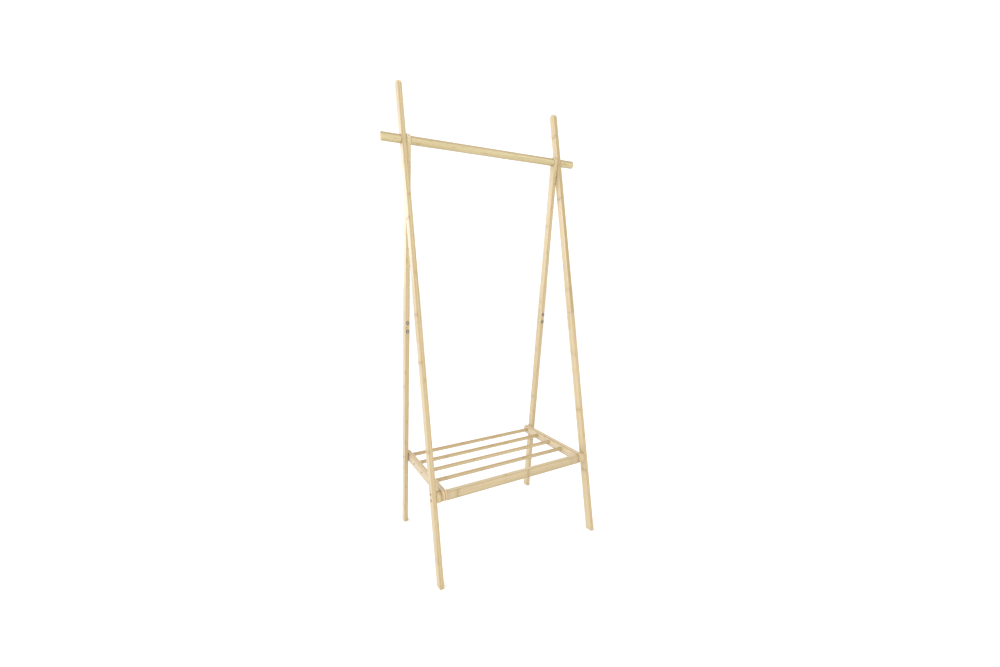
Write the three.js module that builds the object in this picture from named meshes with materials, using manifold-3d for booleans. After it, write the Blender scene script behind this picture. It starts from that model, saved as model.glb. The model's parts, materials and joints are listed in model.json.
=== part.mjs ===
// Free-standing bamboo clothes rack: two crossed-leg side frames, a round hanging rail through
// the crossings and a slatted shelf between the legs. Everything is bolted or screwed together.
// Millimetres, +Z up. +X runs along the rail, -Y is the front, and the origin is on the floor
// under the middle of the rail.

import * as THREE from 'three';
import { mergeVertices } from 'three/addons/utils/BufferGeometryUtils.js';
import Module from 'manifold-3d';

const wasm = await Module();
wasm.setup();

// ---- Driving dimensions ----

const HEIGHT = 1600; // floor to the tips of the front legs
const RAIL_LENGTH = 750; // tip to tip, the whole width
const FOOT_DEPTH = 470; // front toe to rear heel
const RAIL_HEIGHT = 1412; // floor to the rail's axis, where the legs cross
const REAR_LEG_TOP = 1431; // floor to the tips of the rear legs
const FRAME_WIDTH = 624; // over the outer faces of the front legs

const LEG_WIDTH = 30; // leg section, across the lean
const LEG_THICKNESS = 15; // leg section, along the rail
const RAIL_DIAMETER = 28;

const LAP_HEIGHT = 798; // floor to the middle of each leg's half-lap joint
const LAP_LENGTH = 64;
const LAP_BOLT_PITCH = 31;

const SHELF_HEIGHT = 283; // floor to the middle of the side boards
const SIDE_BOARD_HEIGHT = 35;
const SIDE_BOARD_LENGTH = 410;
const SIDE_BOARD_MIDDLE_Y = -2;
const BOARD_THICKNESS = 15;
const FRONT_BOARD_LOW = 264; // floor to its lower face
const FRONT_BOARD_HEIGHT = 32;
const FRONT_BOARD_FACE_Y = -194.5;
const SLAT_DIAMETER = 14;
const SLAT_COUNT = 4;
const SLAT_PITCH = 85.6;
const SPACER_LOW = 264; // floor to the spacer's level lower end
const SPACER_TOP = 295; // floor to the tip of its round upper end

const EDGE = 1.5; // chamfer along every sawn edge
const GAP = 0.3; // clearance between pieces that touch
const FIT = 0.3; // clearance round every shank in its bore
const OVERRUN = 5; // how far a cutter runs out past the face it opens

// ---- Fasteners ----

const LAP_BOLT = { shank: 6, length: 26, head: 12, headHeight: 2, hex: 4 };
const LAP_INSERT = { outer: 9, length: 12 };
const RAIL_SCREW = { shank: 8, depth: 28 };
const CORNER_SCREW = { shank: 5, head: 9, headHeight: 3, recess: 1, hex: 4, depth: 22 };
const FRONT_CORNER_HEIGHTS = [288, 270]; // floor to the two screws through a front leg
const FRONT_CORNER_DEPTH = 13; // how far they reach into the side board
const SLAT_SCREW = { shank: 3.6, head: 7, headHeight: 2.4, recess: 0.2, depth: 22 };
const FRONT_BOARD_SCREW_PITCH = 12;
const SCREW_POINT = 3; // length of the pointed end of a screw

// ---- Facets ----

const SMALL_ROUND = 12; // sides of a fastener or its bore
const SLAT_ROUND = 16; // sides of a slat
const RAIL_ROUND = 32; // sides of the rail

// ---- Worked-out places ----

const footReach = Math.hypot(FOOT_DEPTH / 2, RAIL_HEIGHT);
const lean = Math.acos(LEG_WIDTH / 2 / footReach) - Math.atan2(RAIL_HEIGHT, FOOT_DEPTH / 2);

const frontLegX = FRAME_WIDTH / 2 - LEG_THICKNESS / 2;
const rearLegX = frontLegX - LEG_THICKNESS - GAP;
const sideBoardX = rearLegX - LEG_THICKNESS / 2 - GAP - BOARD_THICKNESS / 2;
const railHalf = rearLegX - LEG_THICKNESS / 2 - GAP;
const stubInnerX = FRAME_WIDTH / 2 + GAP;
const slatHalf = sideBoardX - BOARD_THICKNESS / 2 - GAP;
const rearCornerHeights = [SHELF_HEIGHT]; // one screw, in line with the rear slat

/** Distance along a leg's axis, up from the crossing, at a height above the floor. */
function alongLeg(height) {
  return (height - RAIL_HEIGHT) / Math.cos(lean);
}

/** How far a leg's axis is from the middle plane at a height above the floor. */
function legOffset(height) {
  return (RAIL_HEIGHT - height) * Math.tan(lean);
}

// ---- Materials ----

const bamboo = new THREE.MeshStandardMaterial({ color: 0xdfc99c, roughness: 0.55, metalness: 0 });
const zincSteel = new THREE.MeshStandardMaterial({ color: 0x9a9a98, roughness: 0.35, metalness: 1 });
const darkSteel = new THREE.MeshStandardMaterial({ color: 0x6a5d4e, roughness: 0.5, metalness: 1 });

// ---- Solids ----

/** A closed three.js geometry as a manifold solid. */
function toSolid(geometry) {
  const bare = geometry.clone();
  bare.deleteAttribute('normal');
  bare.deleteAttribute('uv');
  const welded = mergeVertices(bare, 1e-4);
  return new wasm.Manifold(
    new wasm.Mesh({
      numProp: 3,
      vertProperties: new Float32Array(welded.attributes.position.array),
      triVerts: new Uint32Array(welded.index.array),
    })
  );
}

/** A manifold solid as a three.js geometry with flat faces. */
function toGeometry(solid) {
  const mesh = solid.getMesh();
  const indexed = new THREE.BufferGeometry();
  indexed.setAttribute('position', new THREE.BufferAttribute(mesh.vertProperties, 3));
  indexed.setIndex(new THREE.BufferAttribute(mesh.triVerts, 1));
  const flat = indexed.toNonIndexed();
  flat.computeVertexNormals();
  return flat;
}

/** A geometry with every cutter taken out of it. */
function cut(geometry, cutters) {
  let solid = toSolid(geometry);
  for (const cutter of cutters) {
    solid = solid.subtract(toSolid(cutter));
  }
  return toGeometry(solid);
}

/** An outline in the Y-Z plane, made into a plate that is centred on X = 0. */
function plate(outline, thickness, edge) {
  const geometry = new THREE.ExtrudeGeometry(outline, {
    depth: thickness - 2 * edge,
    bevelEnabled: edge > 0,
    bevelThickness: edge,
    bevelSize: edge,
    bevelOffset: -edge,
    bevelSegments: 1,
    curveSegments: 10,
  });
  geometry.translate(0, 0, edge - thickness / 2);
  const outlineToSide = new THREE.Matrix4().makeBasis(
    new THREE.Vector3(0, 1, 0),
    new THREE.Vector3(0, 0, 1),
    new THREE.Vector3(1, 0, 0)
  );
  return geometry.applyMatrix4(outlineToSide);
}

/** A straight-sided outline through points given as [y, z]. */
function polygon(points) {
  return new THREE.Shape(points.map(([y, z]) => new THREE.Vector2(y, z)));
}

/** A turned piece along +Y, from a profile of [radius, distance]. */
function turned(profile, sides) {
  return new THREE.LatheGeometry(
    profile.map(([radius, distance]) => new THREE.Vector2(radius, distance)),
    sides
  );
}

/** A round cutter along X that clears a shank or head, between two places on X. */
function boreAlongX(diameter, fromX, toX, y, z) {
  const radius = diameter / 2 + FIT;
  const bore = new THREE.CylinderGeometry(radius, radius, Math.abs(toX - fromX), SMALL_ROUND);
  bore.rotateZ(Math.PI / 2);
  bore.translate((fromX + toX) / 2, y, z);
  return bore;
}

/** A round cutter along Y that clears a shank or insert, between two places on Y. */
function boreAlongY(diameter, fromY, toY, z) {
  const radius = diameter / 2 + FIT;
  const bore = new THREE.CylinderGeometry(radius, radius, Math.abs(toY - fromY), SMALL_ROUND);
  bore.translate(0, (fromY + toY) / 2, z);
  return bore;
}

// ---- Fastener pieces ----

/** A flat-headed screw with a hex socket, along -Y with the top of its head at the origin. */
function socketScrew(size, length) {
  const neck = size.shank / 2;
  const rim = size.head / 2;
  const point = size.shank * 0.3;
  const softened = 0.5;
  const socketDepth = size.headHeight * 0.7;
  const body = turned(
    [
      [0, -length],
      [neck - point, -length],
      [neck, point - length],
      [neck, -size.headHeight],
      [rim, -size.headHeight],
      [rim, -softened],
      [rim - softened, 0],
      [0, 0],
    ],
    SMALL_ROUND
  );
  const socketCorner = size.hex / Math.sqrt(3);
  const socket = new THREE.CylinderGeometry(socketCorner, socketCorner, 2 * socketDepth, 6);
  return cut(body, [socket]);
}

/** A countersunk wood screw, along -Y with the top of its head at the origin. */
function woodScrew(size, length) {
  const neck = size.shank / 2;
  const rim = size.head / 2;
  const tip = 0.5;
  const rimHeight = 0.4;
  return turned(
    [
      [0, -length],
      [tip, -length],
      [neck, SCREW_POINT - length],
      [neck, -size.headHeight],
      [rim, -rimHeight],
      [rim, 0],
      [0, 0],
    ],
    SMALL_ROUND
  );
}

/** The threaded sleeve that a lap bolt runs into, along -Y from the origin. */
function lapInsert() {
  const inner = LAP_BOLT.shank / 2 + FIT;
  const outer = LAP_INSERT.outer / 2;
  const end = -LAP_INSERT.length;
  return turned([[inner, end], [outer, end], [outer, 0], [inner, 0], [inner, end]], SMALL_ROUND);
}

/** The double-ended screw that ties rail, both legs and end stub together, along Y. */
function railScrew() {
  const radius = RAIL_SCREW.shank / 2;
  const tip = radius / 2;
  const half = (stubInnerX - railHalf) / 2 + RAIL_SCREW.depth;
  return turned(
    [
      [0, -half],
      [tip, -half],
      [radius, SCREW_POINT - half],
      [radius, half - SCREW_POINT],
      [tip, half],
      [0, half],
    ],
    SMALL_ROUND
  );
}

// ---- Legs ----
// A leg's own frame has its origin where the legs cross: Z runs up the leg, Y points at the
// other leg of the pair, and X is the leg's thickness.

/** A length of leg stock: a level cut at its low end, and a round tip at its top. */
function legStock(lowHeight, topHeight) {
  const half = LEG_WIDTH / 2;
  const tip = alongLeg(topHeight - half);
  const cutAt = (y) => alongLeg(lowHeight) + y * Math.tan(lean);
  const outline = polygon([[-half, cutAt(-half)], [half, cutAt(half)], [half, tip]]);
  outline.absarc(0, tip, half, 0, Math.PI, false);
  return plate(outline, LEG_THICKNESS, EDGE);
}

/** Everything above (+1) or below (-1) the stepped line of the half-lap joint. */
function lapCutter(direction) {
  const shift = (-direction * GAP) / 2;
  const middle = alongLeg(LAP_HEIGHT);
  const insideShoulder = middle - LAP_LENGTH / 2 + shift;
  const outsideShoulder = middle + LAP_LENGTH / 2 + shift;
  const far = middle + direction * HEIGHT;
  const outline = polygon([
    [LEG_WIDTH, insideShoulder],
    [shift, insideShoulder],
    [shift, outsideShoulder],
    [-LEG_WIDTH, outsideShoulder],
    [-LEG_WIDTH, far],
    [LEG_WIDTH, far],
  ]);
  return plate(outline, 2 * LEG_THICKNESS, 0);
}

/** Where the two lap bolts of a leg are, along its axis. */
function lapBoltPlaces() {
  return [1, -1].map((step) => alongLeg(LAP_HEIGHT) + (step * LAP_BOLT_PITCH) / 2);
}

/** The lower half of a leg. outward is the side, +1 or -1, that its screw heads are sunk in. */
function lowerLeg(topHeight, screwHeights, outward) {
  const face = (outward * LEG_THICKNESS) / 2;
  const sunk = CORNER_SCREW.recess + CORNER_SCREW.headHeight + GAP;
  const insertDepth = LAP_INSERT.length + 2 * GAP;
  const insertBores = lapBoltPlaces().map((z) => boreAlongY(LAP_INSERT.outer, -insertDepth, LEG_WIDTH, z));
  const cutters = [lapCutter(1), ...insertBores];
  for (const height of screwHeights) {
    const z = alongLeg(height);
    cutters.push(boreAlongX(CORNER_SCREW.shank, -LEG_THICKNESS, LEG_THICKNESS, 0, z));
    cutters.push(boreAlongX(CORNER_SCREW.head, face - outward * sunk, face + outward * OVERRUN, 0, z));
  }
  return cut(legStock(0, topHeight), cutters);
}

/** The upper half of a leg, with the hole for the rail screw. */
function upperLeg(topHeight) {
  const boltBores = lapBoltPlaces().map((z) => boreAlongY(LAP_BOLT.shank, -LEG_WIDTH, LEG_WIDTH, z));
  const railHole = boreAlongX(RAIL_SCREW.shank, -LEG_THICKNESS, LEG_THICKNESS, 0, 0);
  return cut(legStock(0, topHeight), [lapCutter(-1), ...boltBores, railHole]);
}

/** One leg with its joint hardware, in the leg's own frame. */
function legGroup(name, topHeight, screwHeights, outward) {
  const group = new THREE.Group();
  group.add(named(`${name}_lower`, lowerLeg(topHeight, screwHeights, outward), bamboo));
  group.add(named(`${name}_upper`, upperLeg(topHeight), bamboo));
  const boltLength = LAP_BOLT.length + LAP_BOLT.headHeight;
  lapBoltPlaces().forEach((z, index) => {
    const bolt = named(`${name}_bolt_${index + 1}`, socketScrew(LAP_BOLT, boltLength), zincSteel);
    bolt.position.set(0, LEG_WIDTH / 2 + GAP + LAP_BOLT.headHeight, z);
    group.add(bolt);
    const insert = named(`${name}_insert_${index + 1}`, lapInsert(), zincSteel);
    insert.position.set(0, -GAP, z);
    group.add(insert);
  });
  return group;
}

// ---- Rail ----

/** Half of a bar's profile, from the bottom of its screw bore out to the edge of its end. */
function boredEnd(radius, end, screw, edge) {
  const inward = -Math.sign(end);
  const bore = screw.shank / 2 + FIT;
  const bottom = end + inward * (screw.depth + 1);
  return [
    [0, bottom],
    [bore, bottom],
    [bore, end],
    [radius - edge, end],
    [radius, end + inward * edge],
  ];
}

/** A round bar along Y with a screw bore in both ends. */
function boredBar(diameter, length, screw, sides) {
  const edge = 0.6;
  const low = boredEnd(diameter / 2, -length / 2, screw, edge);
  const high = boredEnd(diameter / 2, length / 2, screw, edge);
  return turned([...low, ...high.reverse()], sides);
}

/** The long middle bar of the rail, between the rear legs. */
function rail() {
  return boredBar(RAIL_DIAMETER, 2 * railHalf, RAIL_SCREW, RAIL_ROUND);
}

/** The end of the rail that stands out past the front leg. */
function railStub() {
  const radius = RAIL_DIAMETER / 2;
  const half = (RAIL_LENGTH / 2 - stubInnerX) / 2;
  const jointEdge = 0.6;
  const bored = boredEnd(radius, -half, RAIL_SCREW, jointEdge);
  return turned([...bored, [radius, half - EDGE], [radius - EDGE, half], [0, half]], RAIL_ROUND);
}

// ---- Shelf ----

/** Where the slats are, from the rear one, between the rear legs, to the front one. */
function slatPlaces() {
  const rear = legOffset(SHELF_HEIGHT);
  return Array.from({ length: SLAT_COUNT }, (_, index) => rear - index * SLAT_PITCH);
}

/** Where the front board's screws are, as [y, z]. */
function frontBoardScrews() {
  const middle = FRONT_BOARD_LOW + FRONT_BOARD_HEIGHT / 2;
  const y = FRONT_BOARD_FACE_Y + BOARD_THICKNESS / 2;
  return [1, -1].map((step) => [y, middle + (step * FRONT_BOARD_SCREW_PITCH) / 2]);
}

/** Where the small screws into the front board and into all but the rear slat are, as [y, z]. */
function shelfScrews() {
  return [...slatPlaces().slice(1).map((y) => [y, SHELF_HEIGHT]), ...frontBoardScrews()];
}

/** A side board with round ends. side is +1 on the right and -1 on the left. */
function sideBoard(side) {
  const radius = SIDE_BOARD_HEIGHT / 2;
  const straight = SIDE_BOARD_LENGTH / 2 - radius;
  const outline = new THREE.Shape();
  outline.absarc(SIDE_BOARD_MIDDLE_Y + straight, SHELF_HEIGHT, radius, -Math.PI / 2, Math.PI / 2, false);
  outline.absarc(SIDE_BOARD_MIDDLE_Y - straight, SHELF_HEIGHT, radius, Math.PI / 2, Math.PI * 1.5, false);
  const outer = (side * BOARD_THICKNESS) / 2;
  const cutters = [];
  for (const [y, z] of shelfScrews()) {
    const sunk = outer - side * (SLAT_SCREW.recess + SLAT_SCREW.headHeight + GAP);
    cutters.push(boreAlongX(SLAT_SCREW.shank, -BOARD_THICKNESS, BOARD_THICKNESS, y, z));
    cutters.push(boreAlongX(SLAT_SCREW.head, sunk, outer + side * OVERRUN, y, z));
  }
  for (const height of FRONT_CORNER_HEIGHTS) {
    const blind = outer - side * (FRONT_CORNER_DEPTH + 3 * GAP);
    const y = -legOffset(height);
    cutters.push(boreAlongX(CORNER_SCREW.shank, blind, outer + side * OVERRUN, y, height));
  }
  for (const height of rearCornerHeights) {
    const y = legOffset(height);
    cutters.push(boreAlongX(CORNER_SCREW.shank, -BOARD_THICKNESS, BOARD_THICKNESS, y, height));
  }
  return cut(plate(outline, BOARD_THICKNESS, EDGE), cutters);
}

/** The spacer between a front leg and the side board, a short length of leg stock. */
function spacer() {
  const bores = FRONT_CORNER_HEIGHTS.map((height) =>
    boreAlongX(CORNER_SCREW.shank, -LEG_THICKNESS, LEG_THICKNESS, 0, alongLeg(height))
  );
  return cut(legStock(SPACER_LOW, SPACER_TOP), bores);
}

/** The board along the front edge of the shelf. */
function frontBoard() {
  const front = FRONT_BOARD_FACE_Y;
  const low = FRONT_BOARD_LOW;
  const high = low + FRONT_BOARD_HEIGHT;
  const section = polygon([
    [front + EDGE, low],
    [front + BOARD_THICKNESS - EDGE, low],
    [front + BOARD_THICKNESS, low + EDGE],
    [front + BOARD_THICKNESS, high - EDGE],
    [front + BOARD_THICKNESS - EDGE, high],
    [front + EDGE, high],
    [front, high - EDGE],
    [front, low + EDGE],
  ]);
  const bores = [];
  for (const [y, z] of frontBoardScrews()) {
    for (const side of [-1, 1]) {
      const deep = side * (slatHalf - SLAT_SCREW.depth - 1);
      bores.push(boreAlongX(SLAT_SCREW.shank, deep, side * (slatHalf + OVERRUN), y, z));
    }
  }
  return cut(plate(section, 2 * slatHalf, 0), bores);
}

/** One round slat of the shelf, bored for its end screws. */
function slat(screw) {
  return boredBar(SLAT_DIAMETER, 2 * slatHalf, screw, SLAT_ROUND);
}

// ---- Assembly ----

/** A mesh with its name. */
function named(name, geometry, material) {
  const mesh = new THREE.Mesh(geometry, material);
  mesh.name = name;
  return mesh;
}

/** A piece built along Y, laid along X so that its +Y end points outward on its side. */
function laidAlongX(mesh, side, x, y, z) {
  mesh.rotation.z = (-side * Math.PI) / 2;
  mesh.position.set(side * x, y, z);
  return mesh;
}

/** One side frame: the crossed legs, the spacer, the rail's end stub and the rail screw. */
function sideFrame(sideName, side) {
  const frame = new THREE.Group();
  const front = legGroup(`${sideName}_front_leg`, HEIGHT, FRONT_CORNER_HEIGHTS, side);
  front.position.set(side * frontLegX, 0, RAIL_HEIGHT);
  front.rotation.x = -lean;
  frame.add(front);
  const block = named(`${sideName}_spacer`, spacer(), bamboo);
  block.position.set(side * rearLegX, 0, RAIL_HEIGHT);
  block.rotation.x = -lean;
  frame.add(block);
  const rear = legGroup(`${sideName}_rear_leg`, REAR_LEG_TOP, rearCornerHeights, -side);
  rear.position.set(side * rearLegX, 0, RAIL_HEIGHT);
  rear.rotation.set(-lean, 0, Math.PI, 'ZYX');
  frame.add(rear);
  const stub = named(`${sideName}_rail_stub`, railStub(), bamboo);
  frame.add(laidAlongX(stub, side, (RAIL_LENGTH / 2 + stubInnerX) / 2, 0, RAIL_HEIGHT));
  const screw = named(`${sideName}_rail_screw`, railScrew(), zincSteel);
  frame.add(laidAlongX(screw, side, (railHalf + stubInnerX) / 2, 0, RAIL_HEIGHT));
  return frame;
}

/** The screws that hold the shelf to its front and rear leg on one side. */
function cornerScrews(sideName, side) {
  const screws = new THREE.Group();
  const addScrew = (name, legX, tipX, y, height) => {
    const headX = legX + LEG_THICKNESS / 2 - CORNER_SCREW.recess;
    const screw = named(name, socketScrew(CORNER_SCREW, headX - tipX), darkSteel);
    screws.add(laidAlongX(screw, side, headX, y, height));
  };
  const boardOuterX = sideBoardX + BOARD_THICKNESS / 2;
  FRONT_CORNER_HEIGHTS.forEach((height, index) => {
    const name = `${sideName}_front_corner_screw_${index + 1}`;
    addScrew(name, frontLegX, boardOuterX - FRONT_CORNER_DEPTH, -legOffset(height), height);
  });
  for (const height of rearCornerHeights) {
    const name = `${sideName}_rear_corner_screw`;
    addScrew(name, rearLegX, slatHalf - CORNER_SCREW.depth, legOffset(height), height);
  }
  return screws;
}

/** One end of the shelf: the side board, and the small screws into slats and front board. */
function shelfEnd(sideName, side) {
  const end = new THREE.Group();
  const board = named(`${sideName}_side_board`, sideBoard(side), bamboo);
  board.position.x = side * sideBoardX;
  end.add(board);
  const headX = sideBoardX + BOARD_THICKNESS / 2 - SLAT_SCREW.recess;
  const length = headX - slatHalf + SLAT_SCREW.depth;
  const addScrew = (name, y, z) => {
    const screw = named(name, woodScrew(SLAT_SCREW, length), darkSteel);
    end.add(laidAlongX(screw, side, headX, y, z));
  };
  slatPlaces().slice(1).forEach((y, index) => {
    addScrew(`${sideName}_slat_screw_${index + 2}`, y, SHELF_HEIGHT);
  });
  frontBoardScrews().forEach(([y, z], index) => {
    addScrew(`${sideName}_front_board_screw_${index + 1}`, y, z);
  });
  return end;
}

const rack = new THREE.Group();
for (const [sideName, side] of [['left', -1], ['right', 1]]) {
  rack.add(sideFrame(sideName, side));
  rack.add(cornerScrews(sideName, side));
  rack.add(shelfEnd(sideName, side));
}
rack.add(laidAlongX(named('rail', rail(), bamboo), 1, 0, 0, RAIL_HEIGHT));
rack.add(named('front_board', frontBoard(), bamboo));
slatPlaces().forEach((y, index) => {
  const screw = index === 0 ? CORNER_SCREW : SLAT_SCREW;
  rack.add(laidAlongX(named(`slat_${index + 1}`, slat(screw), bamboo), 1, 0, y, SHELF_HEIGHT));
});

export default rack;
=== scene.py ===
"""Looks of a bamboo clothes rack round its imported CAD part. Metres, +Z up, the front faces -Y."""

import json
import math
import random

import bmesh
import bpy
from mathutils import Matrix, Vector


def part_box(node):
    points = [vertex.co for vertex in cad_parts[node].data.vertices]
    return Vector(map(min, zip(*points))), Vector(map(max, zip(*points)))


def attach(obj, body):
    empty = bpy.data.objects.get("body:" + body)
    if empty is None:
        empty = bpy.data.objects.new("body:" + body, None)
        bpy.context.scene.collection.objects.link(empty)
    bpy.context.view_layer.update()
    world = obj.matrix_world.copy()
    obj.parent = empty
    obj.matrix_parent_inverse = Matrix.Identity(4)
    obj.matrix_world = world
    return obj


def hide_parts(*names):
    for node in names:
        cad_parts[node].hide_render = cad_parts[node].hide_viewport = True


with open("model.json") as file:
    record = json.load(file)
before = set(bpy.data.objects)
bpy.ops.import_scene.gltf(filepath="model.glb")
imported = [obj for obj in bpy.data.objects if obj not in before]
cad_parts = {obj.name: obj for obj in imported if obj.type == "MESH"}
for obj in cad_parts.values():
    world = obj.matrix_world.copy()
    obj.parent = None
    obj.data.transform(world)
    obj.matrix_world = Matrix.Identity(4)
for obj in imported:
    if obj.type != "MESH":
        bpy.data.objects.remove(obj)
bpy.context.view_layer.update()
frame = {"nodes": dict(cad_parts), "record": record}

# ---- Sizes, in metres ----

MM = 0.001
GAP = 0.3 * MM
LEG_WIDTH = 30 * MM
LEG_THICKNESS = 15 * MM
LEG_ROUND = 2.5 * MM  # along a leg's edges
NARROW_SIDE = 14.6 * MM  # from a leg's axis to just under its narrow side
SPACER_ROUND = 0.5 * MM
FOOT_ROUND = 0.8 * MM  # round a level foot, and along the front board's ends
LAP_MIDDLE = 798 * MM  # floor to the middle of a leg's half-lap joint
LAP_LENGTH = 64 * MM
LAP_EDGE = 0.4 * MM
BOARD_THICKNESS = 15 * MM
BOARD_ROUND = 2.2 * MM
RAIL_EDGE = 1.2 * MM
STUB_EDGE = 2.2 * MM  # at the free end of the rail
SLAT_EDGE = 0.6 * MM
SLAT_COUNT = 4
INSET_LINE = 3 * MM  # from a board's edge to the thin line on its face

# ---- Fasteners, in metres ----

LAP_BOLT = {"rim": 6 * MM, "neck": 3 * MM, "head": 2 * MM, "edge": 0.8 * MM, "socket": 1.5 * MM}
LAP_BOLT_LENGTH = 28 * MM
CORNER_SCREW = {"rim": 4.5 * MM, "neck": 2.5 * MM, "head": 3 * MM, "edge": 0.6 * MM, "socket": 2.1 * MM}
HEX_FLATS = 4 * MM
SHELF_SCREW = {"rim": 3.5 * MM, "neck": 1.8 * MM, "head": 2.4 * MM, "socket": 1.4 * MM}
SCREW_POINT = 3 * MM
CROSS_ARM = 2 * MM
CROSS_HALF_WIDTH = 0.5 * MM
SOCKET_LIP = 0.12 * MM
SOCKET_LIP_DEPTH = 0.15 * MM
SOCKET_TAPER = 0.2 * MM
CORNER_SINK = {"depth": 4.4 * MM, "radius": 4.9 * MM}
SHELF_SINK = {"depth": 3 * MM, "radius": 3.9 * MM}
BORE_OVERRUN = 5 * MM  # how far a bore's cutter starts outside the face it opens

# ---- Facets ----

ARC_STEPS = 28
ROUND_STEPS = 5
BORE_SIDES = 32
RAIL_SIDES = 72
SLAT_SIDES = 48
HEAD_SIDES = 48
CRISP_ANGLE = 40  # degrees
FACE_WEIGHT = 80

# ---- Names ----

SIDES = (("left", -1), ("right", 1))
ROWS = ("front", "rear")

# ---- Places, from the CAD part ----


def middle(node):
    """The middle of a CAD node's box."""
    low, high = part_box(node)
    return (low + high) / 2


def size(node):
    """The extent of a CAD node's box."""
    low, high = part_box(node)
    return high - low


rail_height = middle("rail").z
side_middle = middle("left_side_board")
side_size = size("left_side_board")
shelf_height = middle("slat_1").z
joint_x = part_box("right_rear_leg_lower")[0].x
foot_reach = next(abs(m["pos_m"][1]) for m in frame["record"]["mounts"])
lean = math.atan2(foot_reach, rail_height)


def along_leg(height):
    """Distance up a leg's axis from the crossing, at a height above the floor."""
    return (height - rail_height) / math.cos(lean)


def leg_frame(node, row):
    """Where the legs cross, with Z up the leg and Y towards the other leg of the pair."""
    place = Matrix.Translation((middle(node).x, 0, rail_height))
    turn = Matrix.Rotation(math.pi, 4, "Z") if row == "rear" else Matrix.Identity(4)
    return place @ turn @ Matrix.Rotation(-lean, 4, "X")


# ---- Meshes ----

PARALLEL = 1e-6  # two edges whose directions cross by less than this run on in one line


def inset_outline(outline, insets, share):
    """The outline with each edge moved inward by its own inset times share."""
    count = len(outline)
    lines = []
    for i in range(count):
        a, b = Vector(outline[i]), Vector(outline[(i + 1) % count])
        along = (b - a).normalized()
        inward = Vector((-along.y, along.x))
        lines.append((a + inward * insets[i] * share, along, inward))
    moved = []
    for i in range(count):
        p, d, _ = lines[i - 1]
        q, e, n = lines[i]
        cross = d.x * e.y - d.y * e.x
        if abs(cross) < PARALLEL:
            moved.append(Vector(outline[i]) + n * insets[i] * share)
        else:
            step = ((q - p).x * e.y - (q - p).y * e.x) / cross
            moved.append(p + d * step)
    return moved


def skinned(bm, rings):
    """Joins equal rings of vertices into one solid, closed at its first and last ring."""
    count = len(rings[0])
    for low, high in zip(rings, rings[1:]):
        for i in range(count):
            j = (i + 1) % count
            bm.faces.new((low[i], low[j], high[j], high[i]))
    bm.faces.new(rings[0][::-1])
    bm.faces.new(rings[-1])
    bmesh.ops.recalc_face_normals(bm, faces=bm.faces)
    return bm


def plate(outline, insets, thickness, depth):
    """A plate across X with rounded edges, from a counter-clockwise outline of (y, z)."""
    bm = bmesh.new()
    rings = []
    for side in (-1, 1):
        steps = range(ROUND_STEPS, -1, -1) if side < 0 else range(ROUND_STEPS + 1)
        for step in steps:
            angle = math.pi / 2 * step / ROUND_STEPS
            x = side * (thickness / 2 - depth + depth * math.sin(angle))
            ring = inset_outline(outline, insets, 1 - math.cos(angle))
            rings.append([bm.verts.new((x, p.x, p.y)) for p in ring])
    return skinned(bm, rings)


def lathe(profile, sides):
    """A turned solid along X from a profile of (x, radius), closed at both ends."""
    bm = bmesh.new()
    rings = []
    for x, radius in profile:
        ring = []
        for i in range(sides):
            angle = 2 * math.pi * i / sides
            ring.append(bm.verts.new((x, radius * math.cos(angle), radius * math.sin(angle))))
        rings.append(ring)
    return skinned(bm, rings)


def rounded_end(x, radius, edge, outward):
    """Profile points of a bar's end, from its face out to its wall, or back again."""
    points = []
    for step in range(ROUND_STEPS + 1):
        angle = math.pi / 2 * step / ROUND_STEPS
        inward = edge * (1 - math.cos(angle))
        points.append((x - outward * inward, radius - edge + edge * math.sin(angle)))
    return points if outward < 0 else points[::-1]


def bar(length, radius, low_edge, high_edge, sides):
    """A round bar along X, with the edge of each end rounded."""
    low = rounded_end(-length / 2, radius, low_edge, -1)
    high = rounded_end(length / 2, radius, high_edge, 1)
    return lathe(low + high, sides)


def arc(centre, radius, start, end, steps):
    """Points on an arc in the (y, z) plane, both ends included."""
    points = []
    for step in range(steps + 1):
        angle = start + (end - start) * step / steps
        points.append((centre[0] + radius * math.cos(angle), centre[1] + radius * math.sin(angle)))
    return points


# ---- Pieces ----

chance = random.Random(7)


def object_from(name, bm):
    """A mesh object with the shape of bm."""
    mesh = bpy.data.meshes.new(name)
    bm.to_mesh(mesh)
    bm.free()
    made = bpy.data.objects.new(name, mesh)
    bpy.context.scene.collection.objects.link(made)
    return made


def settle(piece):
    """Applies the piece's modifiers to its mesh."""
    evaluated = piece.evaluated_get(bpy.context.evaluated_depsgraph_get())
    mesh = bpy.data.meshes.new_from_object(evaluated)
    piece.modifiers.clear()
    old = piece.data
    piece.data = mesh
    bpy.data.meshes.remove(old)


def sunk_head(face, outward, y, z, sink):
    """A bore along X for a screw head that is sunk into a face."""
    start = (face + outward * BORE_OVERRUN, y, z)
    end = (face - outward * sink["depth"], y, z)
    return start, end, sink["radius"]


def drill(piece, bores):
    """Takes round bores out of a piece. Each is (from point, to point, radius) in its own frame."""
    cutters = bmesh.new()
    for start, end, radius in bores:
        start, end = Vector(start), Vector(end)
        along = end - start
        bore = lathe([(0, radius), (along.length, radius)], BORE_SIDES)
        turn = along.to_track_quat("X", "Z").to_matrix().to_4x4()
        bmesh.ops.transform(bore, matrix=Matrix.Translation(start) @ turn, verts=bore.verts)
        part = bpy.data.meshes.new("bore")
        bore.to_mesh(part)
        bore.free()
        cutters.from_mesh(part)
        bpy.data.meshes.remove(part)
    cutter = object_from("bores", cutters)
    cut = piece.modifiers.new("bores", "BOOLEAN")
    cut.operation = "DIFFERENCE"
    cut.solver = "EXACT"
    cut.object = cutter
    settle(piece)
    mesh = cutter.data
    bpy.data.objects.remove(cutter)
    bpy.data.meshes.remove(mesh)


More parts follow.
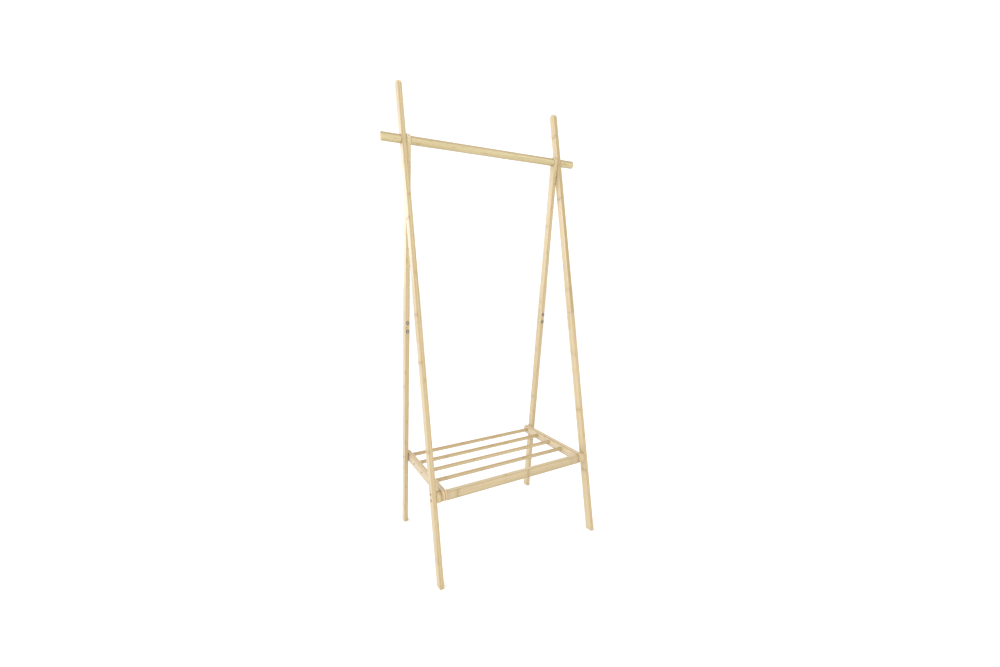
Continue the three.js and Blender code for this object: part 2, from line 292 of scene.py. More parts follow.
LONGEST_SHIFT = 9  # metres of grain that a piece is cut from
NATURAL_TONES = (0.25, 0.75)

# A piece's own axes: along its fibres, across them, and through its layers.
WITH_Z = (2, 1, 0)
WITH_Y = (1, 2, 0)
WITH_X = (0, 1, 2)
WITH_X_LYING = (0, 2, 1)


def grain(mesh, shift, tone, axes):
    """Stores each point's place in its own piece, along the fibres first, and the piece's tone.

    end says how far a point's surface faces along the fibres, as a sawn end does. rim says how
    close it is to the middle of a rounded edge, other than the long sides of a round bar."""
    ends = [abs(vertex.normal[axes[0]]) for vertex in mesh.vertices]
    rim_shades = [4 * end ** 2 * (1 - end ** 2) for end in ends]
    if axes != WITH_X:
        faces = [vertex.normal[axes[2]] ** 2 for vertex in mesh.vertices]
        rim_shades = [max(rim, 4 * face * (1 - face)) for rim, face in zip(rim_shades, faces)]
    place = mesh.attributes.new("grain", "FLOAT_VECTOR", "POINT")
    for vertex, item in zip(mesh.vertices, place.data):
        u, v, w = (vertex.co[axis] for axis in axes)
        item.vector = (u + shift, v, w)
    for name, values in (("tone", [tone] * len(ends)), ("end", ends), ("rim", rim_shades)):
        added = mesh.attributes.new(name, "FLOAT", "POINT")
        added.data.foreach_set("value", values)


def finish_piece(piece, place, material, nodes):
    """Puts a piece in place of its CAD nodes, shaded smooth with crisp corners."""
    mesh = piece.data
    mesh.transform(place)
    mesh.shade_smooth()
    mesh.set_sharp_from_angle(angle=math.radians(CRISP_ANGLE))
    weighted = piece.modifiers.new("normals", "WEIGHTED_NORMAL")
    weighted.keep_sharp = True
    weighted.weight = FACE_WEIGHT
    settle(piece)
    piece.data.materials.clear()
    piece.data.materials.append(material)
    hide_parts(*nodes)
    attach(piece, "root")
    return piece


def wooden(node, bm, place, material, axes, bores=(), tone=None):
    """A wooden piece in place of a CAD node. axes are its own axes, along its fibres first."""
    piece = object_from("wood_" + node, bm)
    if bores:
        drill(piece, bores)
    shift = chance.uniform(0, LONGEST_SHIFT)
    natural = chance.uniform(*NATURAL_TONES)
    grain(piece.data, shift, natural if tone is None else tone, axes)
    return finish_piece(piece, place, material, [node])


# ---- Materials ----

# Each pair is how far out a painted line is at full strength, and how far out it ends.
INSET_WIDTH = (1 * MM, 2.4 * MM)  # from the line's middle
# The joint widths, depth, fade and strength below are for painted shade in the groove where a side
# board passes behind a rear leg.
JOINT_SHADE_WIDTH = (2 * MM, 5 * MM)  # from the rear leg's edge
JOINT_SHADE_DEPTH = (1.4 * MM, 2.6 * MM)  # from the board's face
JOINT_SHADE_FADE = 2 * MM  # along the board's upper and lower edge
JOINT_SHADE_STRENGTH = 0.75
NO_ENDS = 1.0  # metres, more than the rack is deep


class Tree:
    """Builds one material's nodes."""

    def __init__(self, name):
        self.material = bpy.data.materials.new(name)
        self.material.use_nodes = True
        self.nodes = self.material.node_tree.nodes
        self.links = self.material.node_tree.links
        self.shader = self.nodes["Principled BSDF"]

    def put(self, node, index, value):
        """Sets or links one input."""
        if isinstance(value, bpy.types.NodeSocket):
            self.links.new(value, node.inputs[index])
        else:
            node.inputs[index].default_value = value

    def math(self, operation, a, b=0.0, c=0.0, clamp=False):
        """One sum with up to three values."""
        node = self.nodes.new("ShaderNodeMath")
        node.operation = operation
        node.use_clamp = clamp
        for index, value in enumerate((a, b, c)):
            self.put(node, index, value)
        return node.outputs[0]

    def attribute(self, name, output):
        """One of the mesh's own attributes."""
        node = self.nodes.new("ShaderNodeAttribute")
        node.attribute_name = name
        return node.outputs[output]

    def place(self):
        """A point's place in the object, in metres."""
        return self.nodes.new("ShaderNodeTexCoord").outputs["Object"]

    def split(self, vector):
        """A vector's three parts."""
        node = self.nodes.new("ShaderNodeSeparateXYZ")
        self.put(node, 0, vector)
        return node.outputs[0], node.outputs[1], node.outputs[2]

    def join(self, x, y, z):
        """A vector from three values."""
        node = self.nodes.new("ShaderNodeCombineXYZ")
        for index, value in enumerate((x, y, z)):
            self.put(node, index, value)
        return node.outputs[0]

    def scaled(self, vector, factors):
        """A vector times three factors, part by part."""
        node = self.nodes.new("ShaderNodeVectorMath")
        node.operation = "MULTIPLY"
        self.put(node, 0, vector)
        self.put(node, 1, factors)
        return node.outputs[0]

    def noise(self, vector, factors, detail=2.0):
        """Smooth noise. factors say how often it repeats in a metre, each way."""
        node = self.nodes.new("ShaderNodeTexNoise")
        self.put(node, "Vector", self.scaled(vector, factors))
        node.inputs["Scale"].default_value = 1.0
        node.inputs["Detail"].default_value = detail
        return node.outputs["Fac"]

    def random(self, vector):
        """A random value for each different vector."""
        node = self.nodes.new("ShaderNodeTexWhiteNoise")
        node.noise_dimensions = "3D"
        self.put(node, "Vector", vector)
        return node.outputs["Value"]

    def band(self, value, low, high, to_low=0.0, to_high=1.0):
        """value carried smoothly from low..high to to_low..to_high."""
        node = self.nodes.new("ShaderNodeMapRange")
        node.interpolation_type = "SMOOTHSTEP"
        for index, item in enumerate((value, low, high, to_low, to_high)):
            self.put(node, index, item)
        return node.outputs[0]

    def mix(self, share, a, b):
        """Colour a, with a share of colour b in it."""
        node = self.nodes.new("ShaderNodeMix")
        node.data_type = "RGBA"
        self.put(node, 0, share)
        self.put(node, 6, a)
        self.put(node, 7, b)
        return node.outputs[2]

    def painted_joint_shade(self, face):
        """Painted shade: how much a point is in the shaded groove where a rear leg meets its side
        board.

        face is the distance of the board's face from the middle plane."""
        x, y, z = self.split(self.place())
        axis = self.math("MULTIPLY", self.math("SUBTRACT", rail_height, z), math.tan(lean))
        reach = LEG_WIDTH / 2 / math.cos(lean)
        across = self.math("ABSOLUTE", self.math("SUBTRACT", y, axis))
        near, far = (reach + width for width in JOINT_SHADE_WIDTH)
        beside_leg = self.band(across, near, far, JOINT_SHADE_STRENGTH, 0.0)
        rise = self.math("ABSOLUTE", self.math("SUBTRACT", z, shelf_height))
        on_board = self.band(rise, side_size.z / 2 - JOINT_SHADE_FADE, side_size.z / 2, 1.0, 0.0)
        from_face = self.math("ABSOLUTE", self.math("SUBTRACT", self.math("ABSOLUTE", x), face))
        at_face = self.band(from_face, *JOINT_SHADE_DEPTH, 1.0, 0.0)
        return self.math("MULTIPLY", self.math("MULTIPLY", beside_leg, on_board), at_face)

    def inset_line(self, middle_y, middle_z, straight, half, strength):
        """A thin line on a board's faces, a little in from its edge.

        half is half the board's height. straight is half the length of its straight part along Y,
        and the line follows the round ends past that. A board along X has NO_ENDS instead."""
        _, y, z = self.split(self.place())
        along = self.math("ABSOLUTE", self.math("SUBTRACT", y, middle_y))
        past = self.math("MAXIMUM", self.math("SUBTRACT", along, straight), 0.0)
        rise = self.math("SUBTRACT", z, middle_z)
        squares = self.math("MULTIPLY_ADD", past, past, self.math("MULTIPLY", rise, rise))
        depth = self.math("SUBTRACT", half, self.math("SQRT", squares))
        off = self.math("ABSOLUTE", self.math("SUBTRACT", depth, INSET_LINE))
        return self.band(off, *INSET_WIDTH, strength, 0.0)

    def bump(self, height, strength, distance):
        """A normal that follows a height."""
        node = self.nodes.new("ShaderNodeBump")
        node.inputs["Strength"].default_value = strength
        node.inputs["Distance"].default_value = distance
        self.put(node, "Height", height)
        return node.outputs[0]


# How often each pattern of the bamboo repeats in a metre: along, across and through the fibres.
STREAKS = (1.6, 120.0, 120.0)
FIBRES = (9.0, 900.0, 900.0)
DASHES = (46.0, 1500.0, 1500.0)
CLOUDS = (7.0, 30.0, 30.0)
WOBBLES = (30.0, 110.0, 110.0)
PORES = (200.0, 1500.0, 1500.0)

TONE_SEED = 17.0
LAYER_SEED = 3.0

NODE_SPACING = 0.27  # metres between the marks of the culm's nodes in one layer
NODE_SHIFT = 7.0  # spacings by which one layer's nodes can be ahead of another's
NODE_WOBBLE = 11 * MM
NODE_RIDGE = (1 * MM, 6 * MM)
NODE_HALO = (4 * MM, 18 * MM)

# Factors for a wood's dark colour.
BROWN = (0.62, 0.5, 0.42)
GLUE = (0.62, 0.46, 0.3)
SAWN = (1.02, 1.0, 1.0)
# The colour of the painted shade in the groove behind a rear leg.
JOINT_SHADE_COLOUR = (0.30, 0.235, 0.26, 1.0)


def tinted(colour, factors):
    """A colour times a factor for each channel."""
    return (*(channel * factor for channel, factor in zip(colour, factors)), 1.0)


def bamboo_layers(tree, layer, offset, half, w, glue_width):
    """Which layer a point is in, and how much it is on the glue line between two."""
    turns = tree.math("ADD", tree.math("DIVIDE", w, layer), offset)
    part = tree.math("FRACT", turns)
    nearer = tree.math("MINIMUM", part, tree.math("SUBTRACT", 1.0, part))
    from_glue = tree.math("MULTIPLY", nearer, layer)
    line = tree.band(from_glue, glue_width * 0.35, glue_width * 0.65, 1.0, 0.0)
    inside = tree.band(tree.math("ABSOLUTE", w), half - 1.2 * MM, half - 0.6 * MM, 1.0, 0.0)
    return tree.math("FLOOR", turns), tree.math("MULTIPLY", line, inside)


def bamboo_nodes(tree, place, u, index, tone, layer_tone):
    """The mark and the halo of the culm's nodes, which cross each layer at its own places."""
    wobble = tree.math("MULTIPLY", tree.noise(place, WOBBLES, 2.0), NODE_WOBBLE)
    run = tree.math("DIVIDE", tree.math("ADD", u, wobble), NODE_SPACING)
    turn = tree.math("ADD", run, tree.math("MULTIPLY", layer_tone, NODE_SHIFT))
    cell = tree.random(tree.join(tree.math("FLOOR", turn), index, tone))

    # A node is somewhere in the middle half of its spacing, and some are fainter than others.
    centre = tree.math("MULTIPLY_ADD", cell, 0.5, 0.25)
    strength = tree.band(cell, 0.25, 0.6, 0.2, 1.0)
    from_centre = tree.math("SUBTRACT", tree.math("FRACT", turn), centre)
    away = tree.math("ABSOLUTE", tree.math("MULTIPLY", from_centre, NODE_SPACING))
    ridge = tree.band(away, *NODE_RIDGE, 1.0, 0.0)
    halo = tree.band(away, *NODE_HALO, 1.0, 0.0)
    return tree.math("MULTIPLY", ridge, strength), halo


def narrow_side(tree, layer, v, w, contrast, shade):
    """How much darker a leg's narrow side is. shade is painted shade over the whole side, and contrast
    makes its outer layers darker than its middle one.
    """
    from_middle = tree.math("ABSOLUTE", w)
    low, high = shade - contrast, shade + contrast
    darker = tree.band(from_middle, layer * 0.42, layer * 0.58, low, high)
    across = tree.math("ABSOLUTE", v)
    on_side = tree.band(across, NARROW_SIDE - 1 * MM, NARROW_SIDE, 0.0, 1.0)
    return tree.math("MULTIPLY", darker, on_side)


def bamboo(
    name, light, dark, layers, glue, rim=0.0, knots=0.5, edges=(), bar_shades=(), sawn=0.7,
    joint=None, inset=None,
):
    """Laminated bamboo: layers with glue lines, long fibres, dark dashes and the culm's nodes.

    layers is a layer's thickness, where in a layer the piece's middle is, and half the piece's
    thickness through its layers. glue is the width and strength of a glue line. rim paints shade
    on rounded edges, knots the marks at the nodes, and sawn the ends. edges is how much a leg's
    narrow side differs between its layers, and how much painted shade darkens it. bar_shades
    paints shade on the top and the bottom of a round bar, each as (from, to, strength). joint is
    the distance from the middle plane of a face that the rear legs meet, where painted shade
    darkens the groove, and inset is what inset_line takes."""
    layer, offset, half = layers
    glue_width, glue_share = glue
    brown = tinted(dark, BROWN)
    tree = Tree(name)
    place = tree.attribute("grain", "Vector")
    tone = tree.attribute("tone", "Fac")
    u, v, w = tree.split(place)
    index, glue_line = bamboo_layers(tree, layer, offset, half, w, glue_width)
    layer_tone = tree.random(tree.join(index, tree.math("MULTIPLY", tone, TONE_SEED), LAYER_SEED))
    knot, halo = bamboo_nodes(tree, place, u, index, tone, layer_tone)
    streak = tree.noise(place, STREAKS, 3.0)
    fibre = tree.noise(place, FIBRES, 4.0)
    dash = tree.band(tree.noise(place, DASHES, 1.0), 0.6, 0.74)
    cloud = tree.noise(place, CLOUDS, 2.0)

    # How dark each point is between the light and the dark colour.
    share = 0.5
    parts = ((streak, 1.1), (fibre, 1.0), (layer_tone, 0.3), (cloud, 0.5), (tone, 0.7))
    for part, strength in parts:
        share = tree.math("MULTIPLY_ADD", tree.math("SUBTRACT", part, 0.5), strength, share)
    # A leg's narrow side: darker outer layers, and painted shade over the whole side.
    if edges:
        share = tree.math("ADD", share, narrow_side(tree, layer, v, w, *edges))
    share = tree.math("MULTIPLY_ADD", halo, 0.3, share, clamp=True)
    colour = tree.mix(share, light, dark)
    colour = tree.mix(tree.math("MULTIPLY", dash, 0.25), colour, brown)
    colour = tree.mix(tree.math("MULTIPLY", knot, knots), colour, brown)
    # Painted shade along the top and the bottom of a round bar.
    for sign, (near, far, strength) in zip((1.0, -1.0), bar_shades):
        bar_shade = tree.band(tree.math("MULTIPLY", w, sign), near, far, 0.0, strength)
        colour = tree.mix(bar_shade, colour, brown)
    # Painted shade along rounded edges and round the rims of the bores.
    if rim:
        rounded = tree.band(tree.attribute("rim", "Fac"), 0.3, 0.9, 0.0, rim)
        colour = tree.mix(rounded, colour, brown)
    colour = tree.mix(tree.math("MULTIPLY", glue_line, glue_share), colour, tinted(dark, GLUE))
    if inset:
        colour = tree.mix(tree.inset_line(*inset), colour, brown)
    # Painted shade in the groove where a side board passes behind a rear leg.
    if joint:
        colour = tree.mix(tree.painted_joint_shade(joint), colour, JOINT_SHADE_COLOUR)

    # A sawn end is darker and shows the fibre bundles as dots.
    cut = tree.band(tree.attribute("end", "Fac"), 0.6, 0.9)
    if sawn:
        pores = tree.band(tree.noise(place, PORES, 2.0), 0.4, 0.65)
        end_colour = tree.mix(pores, tinted(dark, SAWN), brown)
        colour = tree.mix(tree.math("MULTIPLY", cut, sawn), colour, end_colour)
    tree.put(tree.shader, "Base Color", colour)

    rough = 0.34
    for part, strength in ((fibre, 0.16), (knot, 0.1), (cut, 0.2)):
        rough = tree.math("MULTIPLY_ADD", part, strength, rough)
    tree.put(tree.shader, "Roughness", rough)
    level = tree.math("SUBTRACT", fibre, tree.math("MULTIPLY", glue_line, 0.6))
    height = tree.math("MULTIPLY_ADD", knot, 0.8, level)
    tree.put(tree.shader, "Normal", tree.bump(height, 0.14, 0.25 * MM))
    tree.shader.inputs["IOR"].default_value = 1.5
    tree.shader.inputs["Coat Weight"].default_value = 0.12
    tree.shader.inputs["Coat Roughness"].default_value = 0.28
    return tree.material


STAINS = (420.0, 420.0, 420.0)
BRUSHING = (300.0, 2600.0, 2600.0)


def metal(name, colour, highlight, rough):
    """Plated steel with faint brushing and stains, and a painted highlight that makes a head lighter
    towards its middle.
    """
    tree = Tree(name)
    stain = tree.noise(tree.place(), STAINS, 3.0)
    brush = tree.noise(tree.place(), BRUSHING, 2.0)
    reach = tree.math("MULTIPLY_ADD", stain, 0.2, tree.attribute("reach", "Fac"))
    tree.put(tree.shader, "Base Color", tree.mix(tree.band(reach, 0.45, 0.85), highlight, colour))
    tree.put(tree.shader, "Roughness", tree.math("MULTIPLY_ADD", brush, 0.22, rough))
    tree.put(tree.shader, "Normal", tree.bump(brush, 0.2, 0.08 * MM))
    tree.shader.inputs["Metallic"].default_value = 1.0
    return tree.material


# A layer's thickness, where in a layer the piece's middle is, and half the piece's thickness.
LAYER = 5 * MM
MID_LAYER = 0.5
LEG_LAYERS = (LAYER, MID_LAYER, LEG_THICKNESS / 2)
RAIL_LAYERS = (LAYER, MID_LAYER, size("rail").z / 2)
SLAT_LAYERS = (LAYER, MID_LAYER, size("slat_1").z / 2)
BOARD_LAYERS = (BOARD_THICKNESS / 2, 0.0, BOARD_THICKNESS / 2)

# A glue line's width and strength.
LEG_GLUE = (0.5 * MM, 0.25)
BAR_GLUE = (0.4 * MM, 0.2)
SIDE_GLUE = (3.5 * MM, 0.85)
FRONT_GLUE = (1.6 * MM, 0.5)

leg_wood = bamboo(
    "bamboo_legs", (0.545, 0.448, 0.272, 1), (0.41, 0.31, 0.15, 1), LEG_LAYERS, LEG_GLUE,
    rim=0.16, edges=(0.2, 0.0), joint=joint_x,
)
# Lit and shaded copies of the leg wood for the upper front legs: far more painted shade on the right
# one's narrow side, and a lighter light colour, for how the light falls on each side.
UPPER_SHADED_WOODS = {
    "left": bamboo(
        "bamboo_left_upper_shaded", (0.55, 0.455, 0.28, 1), (0.41, 0.31, 0.15, 1), LEG_LAYERS, LEG_GLUE,
        rim=0.16, edges=(0.2, 0.1),
    ),
    "right": bamboo(
        "bamboo_right_upper_shaded", (0.575, 0.465, 0.29, 1), (0.395, 0.295, 0.14, 1), LEG_LAYERS, LEG_GLUE,
        rim=0.16, edges=(0.2, 0.85),
    ),
}
rail_wood = bamboo(
    "bamboo_rail", (0.54, 0.46, 0.265, 1), (0.415, 0.327, 0.15, 1), RAIL_LAYERS, BAR_GLUE,
    rim=0.5, knots=0.15, sawn=0.15, bar_shades=((1 * MM, 9 * MM, 0.8), (11 * MM, 13.5 * MM, 0.35)),
)
slat_wood = bamboo(
    "bamboo_slats", (0.555, 0.45, 0.262, 1), (0.41, 0.297, 0.13, 1), SLAT_LAYERS, BAR_GLUE,
    sawn=0.4, bar_shades=((2 * MM, 6 * MM, 0.55), (1.5 * MM, 5.5 * MM, 0.45)),
)
side_wood = bamboo(
    "bamboo_sides", (0.57, 0.468, 0.3, 1), (0.455, 0.352, 0.198, 1), BOARD_LAYERS, SIDE_GLUE,
    knots=0.25, sawn=0.0, joint=joint_x,
    inset=(side_middle.y, side_middle.z, (side_size.y - side_size.z) / 2, side_size.z / 2, 0.75),
)
board_wood = bamboo(
    "bamboo_board", (0.50, 0.415, 0.26, 1), (0.385, 0.295, 0.156, 1), BOARD_LAYERS, FRONT_GLUE,
    rim=0.1, inset=(0.0, middle("front_board").z, NO_ENDS, size("front_board").z / 2, 0.35),
)
# Each is the plate's colour, the colour of the painted highlight at a head's middle, and the roughness.
zinc = metal("zinc_plate", (0.12, 0.105, 0.11, 1), (0.42, 0.40, 0.36, 1), 0.3)
bronze = metal("bronzed_plate", (0.19, 0.095, 0.045, 1), (0.25, 0.135, 0.07, 1), 0.5)
dark_bronze = metal("bronzed_small", (0.10, 0.045, 0.02, 1), (0.13, 0.065, 0.03, 1), 0.55)

# ---- Legs ----

# How dark each upper leg is within its wood's own range, set as painted light and shade for how the
# light falls on each leg.
UPPER_SHADE_TONES = {"left_front": 0.62, "right_front": 0.36, "left_rear": 0.12, "right_rear": 0.12}


def lower_outline():
    """The lower half of a leg: level foot, and the step of the half-lap joint at its top."""
    half = LEG_WIDTH / 2
    foot = along_leg(0)
    slope = half * math.tan(lean)
    lap = along_leg(LAP_MIDDLE)
    inside = lap - LAP_LENGTH / 2 - GAP / 2
    outside = lap + LAP_LENGTH / 2 - GAP / 2
    step = -GAP / 2
    outline = [(-half, foot - slope), (half, foot + slope), (half, inside)]
    outline += [(step, inside), (step, outside), (-half, outside)]
    insets = [FOOT_ROUND, LEG_ROUND, LAP_EDGE, LAP_EDGE, LAP_EDGE, LEG_ROUND]
    return outline, insets


def upper_outline(top):
    """The upper half of a leg: the other half of the joint, and a round tip."""
    half = LEG_WIDTH / 2
    lap = along_leg(LAP_MIDDLE)
    inside = lap - LAP_LENGTH / 2 + GAP / 2
    outside = lap + LAP_LENGTH / 2 + GAP / 2
    step = GAP / 2
    tip = arc((0, along_leg(top - half)), half, 0, math.pi, ARC_STEPS)
    outline = [(step, inside), (half, inside)] + tip + [(-half, outside), (step, outside)]
    insets = [LAP_EDGE, LEG_ROUND] + [LEG_ROUND] * (len(tip) - 1) + [LEG_ROUND, LAP_EDGE, LAP_EDGE]
    return outline, insets


def spacer_outline(low, top):
    """A short length of leg stock: a level cut at its low end and a round tip."""
    half = LEG_WIDTH / 2
    cut = along_leg(low)
    slope = half * math.tan(lean)
    tip = arc((0, along_leg(top - half)), half, 0, math.pi, ARC_STEPS)
    outline = [(-half, cut - slope), (half, cut + slope)] + tip
    insets = [FOOT_ROUND] + [SPACER_ROUND] * (len(tip) + 1)
    return outline, insets


def corner_screws(side_name, row):
    """The CAD screws that hold the shelf to one leg."""
    base = f"{side_name}_{row}_corner_screw"
    return [base] if row == "rear" else [f"{base}_1", f"{base}_2"]


def shelf_screws(side_name):
    """The small CAD screws in one side board."""
    into_slats = [f"{side_name}_slat_screw_{n}" for n in range(2, SLAT_COUNT + 1)]
    return into_slats + [f"{side_name}_front_board_screw_{n}" for n in (1, 2)]


for side_name, side in SIDES:
    for row in ROWS:
        name = f"{side_name}_{row}_leg"
        place = leg_frame(f"{name}_lower", row)
        back = place.inverted()
        screw_side = side if row == "front" else -side
        bores = []
        for screw in corner_screws(side_name, row):
            centre = back @ middle(screw)
            face = screw_side * LEG_THICKNESS / 2
            bores.append(sunk_head(face, screw_side, centre.y, centre.z, CORNER_SINK))
        outline, insets = lower_outline()
        lower = plate(outline, insets, LEG_THICKNESS, LEG_ROUND)
        wooden(f"{name}_lower", lower, place, leg_wood, WITH_Z, bores)
        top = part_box(f"{name}_upper")[1].z
        outline, insets = upper_outline(top)
        upper = plate(outline, insets, LEG_THICKNESS, LEG_ROUND)
        tone = UPPER_SHADE_TONES[f"{side_name}_{row}"]
        wood = UPPER_SHADED_WOODS[side_name] if row == "front" else leg_wood
        wooden(f"{name}_upper", upper, place, wood, WITH_Z, tone=tone)

    node = f"{side_name}_spacer"
    low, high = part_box(node)
    outline, insets = spacer_outline(low.z, high.z)
    block = plate(outline, insets, high.x - low.x, SPACER_ROUND)
    wooden(node, block, leg_frame(node, "front"), leg_wood, WITH_Z)

# ---- Rail and slats ----


def wooden_bar(node, low_edge, high_edge, sides, material):
    """A round bar along X in place of a CAD node."""
    extent = size(node)
    shape = bar(extent.x, extent.z / 2, low_edge, high_edge, sides)
    wooden(node, shape, Matrix.Translation(middle(node)), material, WITH_X)


wooden_bar("rail", RAIL_EDGE, RAIL_EDGE, RAIL_SIDES, rail_wood)
wooden_bar("left_rail_stub", STUB_EDGE, RAIL_EDGE, RAIL_SIDES, rail_wood)
wooden_bar("right_rail_stub", RAIL_EDGE, STUB_EDGE, RAIL_SIDES, rail_wood)
for number in range(1, SLAT_COUNT + 1):
    wooden_bar(f"slat_{number}", SLAT_EDGE, SLAT_EDGE, SLAT_SIDES, slat_wood)

# ---- Shelf boards ----


def stadium(length, height):
    """A long outline with full-round ends, centred on the origin."""
    radius = height / 2
    straight = length / 2 - radius
    right = arc((straight, 0), radius, -math.pi / 2, math.pi / 2, ARC_STEPS)
    left = arc((-straight, 0), radius, math.pi / 2, 3 * math.pi / 2, ARC_STEPS)
    return right + left


def rounded_box(width, height, radius):
    """A rectangle with round corners, centred on the origin."""
    points = []
    for quarter, (sy, sz) in enumerate(((1, -1), (1, 1), (-1, 1), (-1, -1))):
        centre = (sy * (width / 2 - radius), sz * (height / 2 - radius))
        start = math.pi / 2 * (quarter - 1)
        points += arc(centre, radius, start, start + math.pi / 2, ROUND_STEPS)
    return points


# How dark each side board is within its wood's own range, set as painted light and shade: the left one
# darker and the right one lighter, for how the light falls on each.
SIDE_BOARD_SHADE_TONES = {"left": 0.9, "right": 0.0}

for side_name, side in SIDES:
    node = f"{side_name}_side_board"
    centre = middle(node)
    extent = size(node)
    outline = stadium(extent.y, extent.z)
    face = side * BOARD_THICKNESS / 2
    bores = []
    for screw in shelf_screws(side_name):
        place = middle(screw) - centre
        bores.append(sunk_head(face, side, place.y, place.z, SHELF_SINK))
    board = plate(outline, [BOARD_ROUND] * len(outline), BOARD_THICKNESS, BOARD_ROUND)
    tone = SIDE_BOARD_SHADE_TONES[side_name]
    wooden(node, board, Matrix.Translation(centre), side_wood, WITH_Y, bores, tone)

centre = middle("front_board")
extent = size("front_board")
outline = rounded_box(extent.y, extent.z, BOARD_ROUND)
board = plate(outline, [FOOT_ROUND] * len(outline), extent.x, FOOT_ROUND)
wooden("front_board", board, Matrix.Translation(centre), board_wood, WITH_X_LYING)

# ---- Fasteners ----


def hex_socket(angle):
    """The radius of a hex socket at an angle."""
    return HEX_FLATS / 2 / math.cos((angle + math.pi / 6) % (math.pi / 3) - math.pi / 6)


def cross_socket(angle):
    """The radius of a cross-shaped recess at an angle."""
    folded = angle % (math.pi / 2)
    folded = min(folded, math.pi / 2 - folded)
    if math.tan(folded) * CROSS_ARM <= CROSS_HALF_WIDTH:
        return CROSS_ARM / math.cos(folded)
    return CROSS_HALF_WIDTH / math.sin(folded)


def headed(profile, socket, socket_depth):
    """A screw along X with its head's top at the origin, from a profile of (x, radius)."""
    bm = bmesh.new()
    angles = [2 * math.pi * i / HEAD_SIDES for i in range(HEAD_SIDES)]

    def ring(x, radius):
        return [bm.verts.new((x, radius(a) * math.cos(a), radius(a) * math.sin(a))) for a in angles]

    rings = [ring(x, lambda a, r=r: r) for x, r in profile]
    rings.append(ring(0, socket))
    rings.append(ring(-SOCKET_LIP_DEPTH, lambda a: socket(a) - SOCKET_LIP))
    rings.append(ring(-socket_depth, lambda a: socket(a) - SOCKET_TAPER))
    return skinned(bm, rings)


def flat_screw(kind, length):
    """A flat-headed screw with a hex socket."""
    rim, neck, head, edge = kind["rim"], kind["neck"], kind["head"], kind["edge"]
    under = 0.2 * MM
    profile = [(-length, neck / 2), (neck - length, neck), (-head, neck)]
    profile += [(-head, rim - under), (under - head, rim)]
    for step in range(ROUND_STEPS + 1):
        angle = math.pi / 2 * step / ROUND_STEPS
        profile.append((-edge + edge * math.sin(angle), rim - edge + edge * math.cos(angle)))
    return headed(profile, hex_socket, kind["socket"])


def wood_screw(kind, length):
    """A countersunk screw with a cross recess."""
    rim, neck = kind["rim"], kind["neck"]
    tip = 0.3 * MM
    rim_height = 0.4 * MM
    bevel = 0.1 * MM
    profile = [(-length, tip), (SCREW_POINT - length, neck), (-kind["head"], neck)]
    profile += [(-rim_height, rim), (-bevel, rim), (0, rim - bevel)]
    return headed(profile, cross_socket, kind["socket"])


LEVEL = 0.05 * MM  # points this close in height are on one face


def head_frame(node, outward):
    """The middle of the top of a CAD screw's head, with X along outward."""
    points = [v.co for v in frame["nodes"][node].data.vertices]
    top = max(p.dot(outward) for p in points)
    rim = [p for p in points if p.dot(outward) > top - LEVEL]
    centre = sum(rim, Vector()) / len(rim)
    turn = outward.to_track_quat("X", "Z").to_matrix().to_4x4()
    return Matrix.Translation(centre) @ turn


def fastener(node, bm, outward, material):
    """A screw or bolt in place of a CAD node."""
    piece = object_from("metal_" + node, bm)
    reaches = [math.hypot(v.co.y, v.co.z) for v in piece.data.vertices]
    rim = max(reaches)
    added = piece.data.attributes.new("reach", "FLOAT", "POINT")
    added.data.foreach_set("value", [reach / rim for reach in reaches])
    return finish_piece(piece, head_frame(node, outward), material, [node])


for side_name, side in SIDES:
    out = Vector((side, 0, 0))
    for row in ROWS:
        leg = f"{side_name}_{row}_leg"
        inward = leg_frame(f"{leg}_lower", row).to_3x3() @ Vector((0, 1, 0))
        for index in (1, 2):
            bolt = flat_screw(LAP_BOLT, LAP_BOLT_LENGTH)
            fastener(f"{leg}_bolt_{index}", bolt, inward, zinc)
        for node in corner_screws(side_name, row):
            screw = flat_screw(CORNER_SCREW, size(node).x)
            fastener(node, screw, out, bronze)
    for node in shelf_screws(side_name):
        screw = wood_screw(SHELF_SCREW, size(node).x)
        fastener(node, screw, out, dark_bronze)

# The hidden inserts and rail screws keep their CAD shapes.
for node, part in frame["nodes"].items():
    if "insert" in node or "rail_screw" in node:
        part.data.materials.clear()
        part.data.materials.append(zinc)

# ---- Floor, light and camera ----

FLOOR_REACH = 40
FLOOR_PATCHES = (2.0, 2.0, 2.0)
FLOOR_COLOURS = ((0.81, 0.81, 0.81, 1), (0.825, 0.825, 0.82, 1))
WORLD_STRENGTH = 1.25

# Name, place, aim, width, height, power and colour.
LIGHTS = (
    ("key", (-2.5, 0.1, 2.2), (0, 0, 1.1), 1.7, 1.7, 28, (0.92, 0.98, 1.16)),
    ("fill", (-1.0, -2.8, 0.45), (0, 0, 0.4), 1.8, 0.9, 27, (1, 1, 1)),
    ("back_left", (-1.9, 4.2, 1.9), (0, 0, 0.9), 2.4, 1.8, 32, (1.0, 0.95, 1.08)),
    ("top", (0.3, 0.2, 5.0), (0, 0, 0.5), 3.5, 3.5, 40, (1, 1, 1)),
)

CAMERA_PLACE = (-0.7342, -1.4321, 0.9704)
CAMERA_YAW = math.radians(30.7242)
CAMERA_PITCH = math.radians(-6.8548)
CAMERA_ROLL = math.radians(-0.4882)
CAMERA_LENS = 15.5788
CAMERA_SENSOR = 36
CAMERA_SHIFT = (-0.0175, -0.0046)


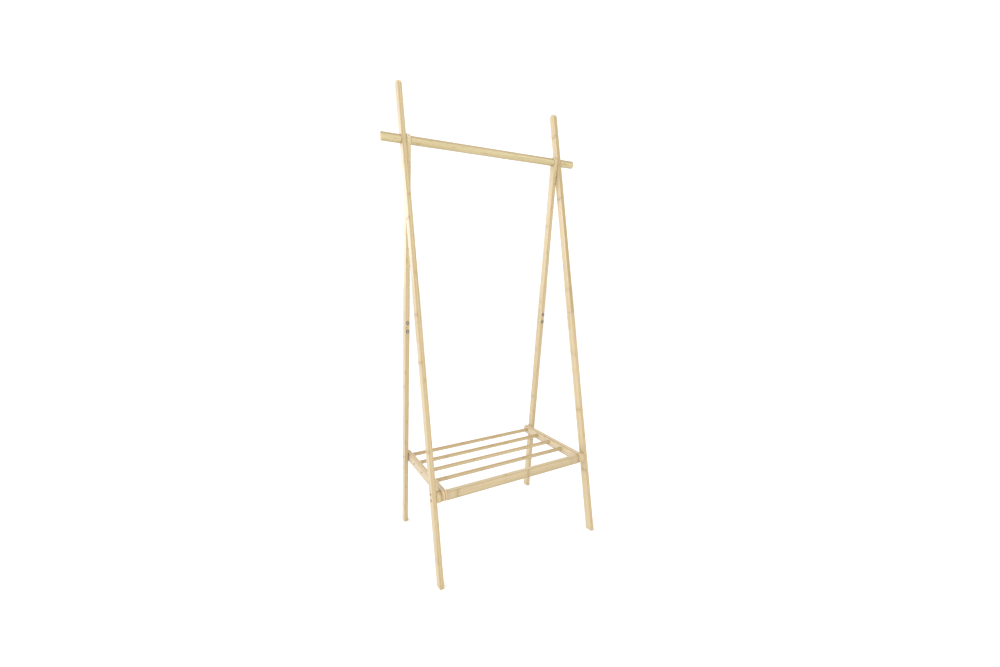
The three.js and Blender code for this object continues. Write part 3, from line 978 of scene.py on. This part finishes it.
def floor():
    """A wide pale floor."""
    bm = bmesh.new()
    corners = ((-1, -1), (1, -1), (1, 1), (-1, 1))
    bm.faces.new([bm.verts.new((x * FLOOR_REACH, y * FLOOR_REACH, 0)) for x, y in corners])
    made = object_from("floor", bm)
    tree = Tree("pale_floor")
    patch = tree.noise(tree.place(), FLOOR_PATCHES, 2.0)
    tree.put(tree.shader, "Base Color", tree.mix(patch, *FLOOR_COLOURS))
    tree.shader.inputs["Roughness"].default_value = 0.75
    tree.shader.inputs["Specular IOR Level"].default_value = 0.2
    made.data.materials.append(tree.material)


def soft_light(name, place, aim, width, height, power, colour):
    """A large soft panel light."""
    light = bpy.data.lights.new(name, "AREA")
    light.shape = "RECTANGLE"
    light.size = width
    light.size_y = height
    light.energy = power
    light.color = colour
    made = bpy.data.objects.new(name, light)
    made.location = place
    made.rotation_euler = (Vector(aim) - Vector(place)).to_track_quat("-Z", "Y").to_euler()
    bpy.context.scene.collection.objects.link(made)


def camera():
    """The camera, turned by its yaw, pitch and roll from looking along +Y."""
    level = math.cos(CAMERA_PITCH)
    ahead = Vector((math.sin(CAMERA_YAW) * level, math.cos(CAMERA_YAW) * level, math.sin(CAMERA_PITCH)))
    flat_right = Vector((math.cos(CAMERA_YAW), -math.sin(CAMERA_YAW), 0))
    flat_up = flat_right.cross(ahead)
    right = flat_right * math.cos(CAMERA_ROLL) + flat_up * math.sin(CAMERA_ROLL)
    up = flat_up * math.cos(CAMERA_ROLL) - flat_right * math.sin(CAMERA_ROLL)
    data = bpy.data.cameras.new("camera")
    data.sensor_width = CAMERA_SENSOR
    data.lens = CAMERA_LENS
    data.shift_x, data.shift_y = CAMERA_SHIFT
    made = bpy.data.objects.new("camera", data)
    turn = Matrix((right, up, -ahead)).transposed().to_4x4()
    made.matrix_world = Matrix.Translation(CAMERA_PLACE) @ turn
    bpy.context.scene.collection.objects.link(made)
    bpy.context.scene.camera = made


def studio():
    """A bright white surrounding."""
    world = bpy.data.worlds.new("studio")
    world.use_nodes = True
    background = world.node_tree.nodes["Background"]
    background.inputs["Color"].default_value = (1, 1, 1, 1)
    background.inputs["Strength"].default_value = WORLD_STRENGTH
    bpy.context.scene.world = world
    bpy.context.scene.view_settings.view_transform = "Standard"


floor()
for settings in LIGHTS:
    soft_light(*settings)
studio()
camera()
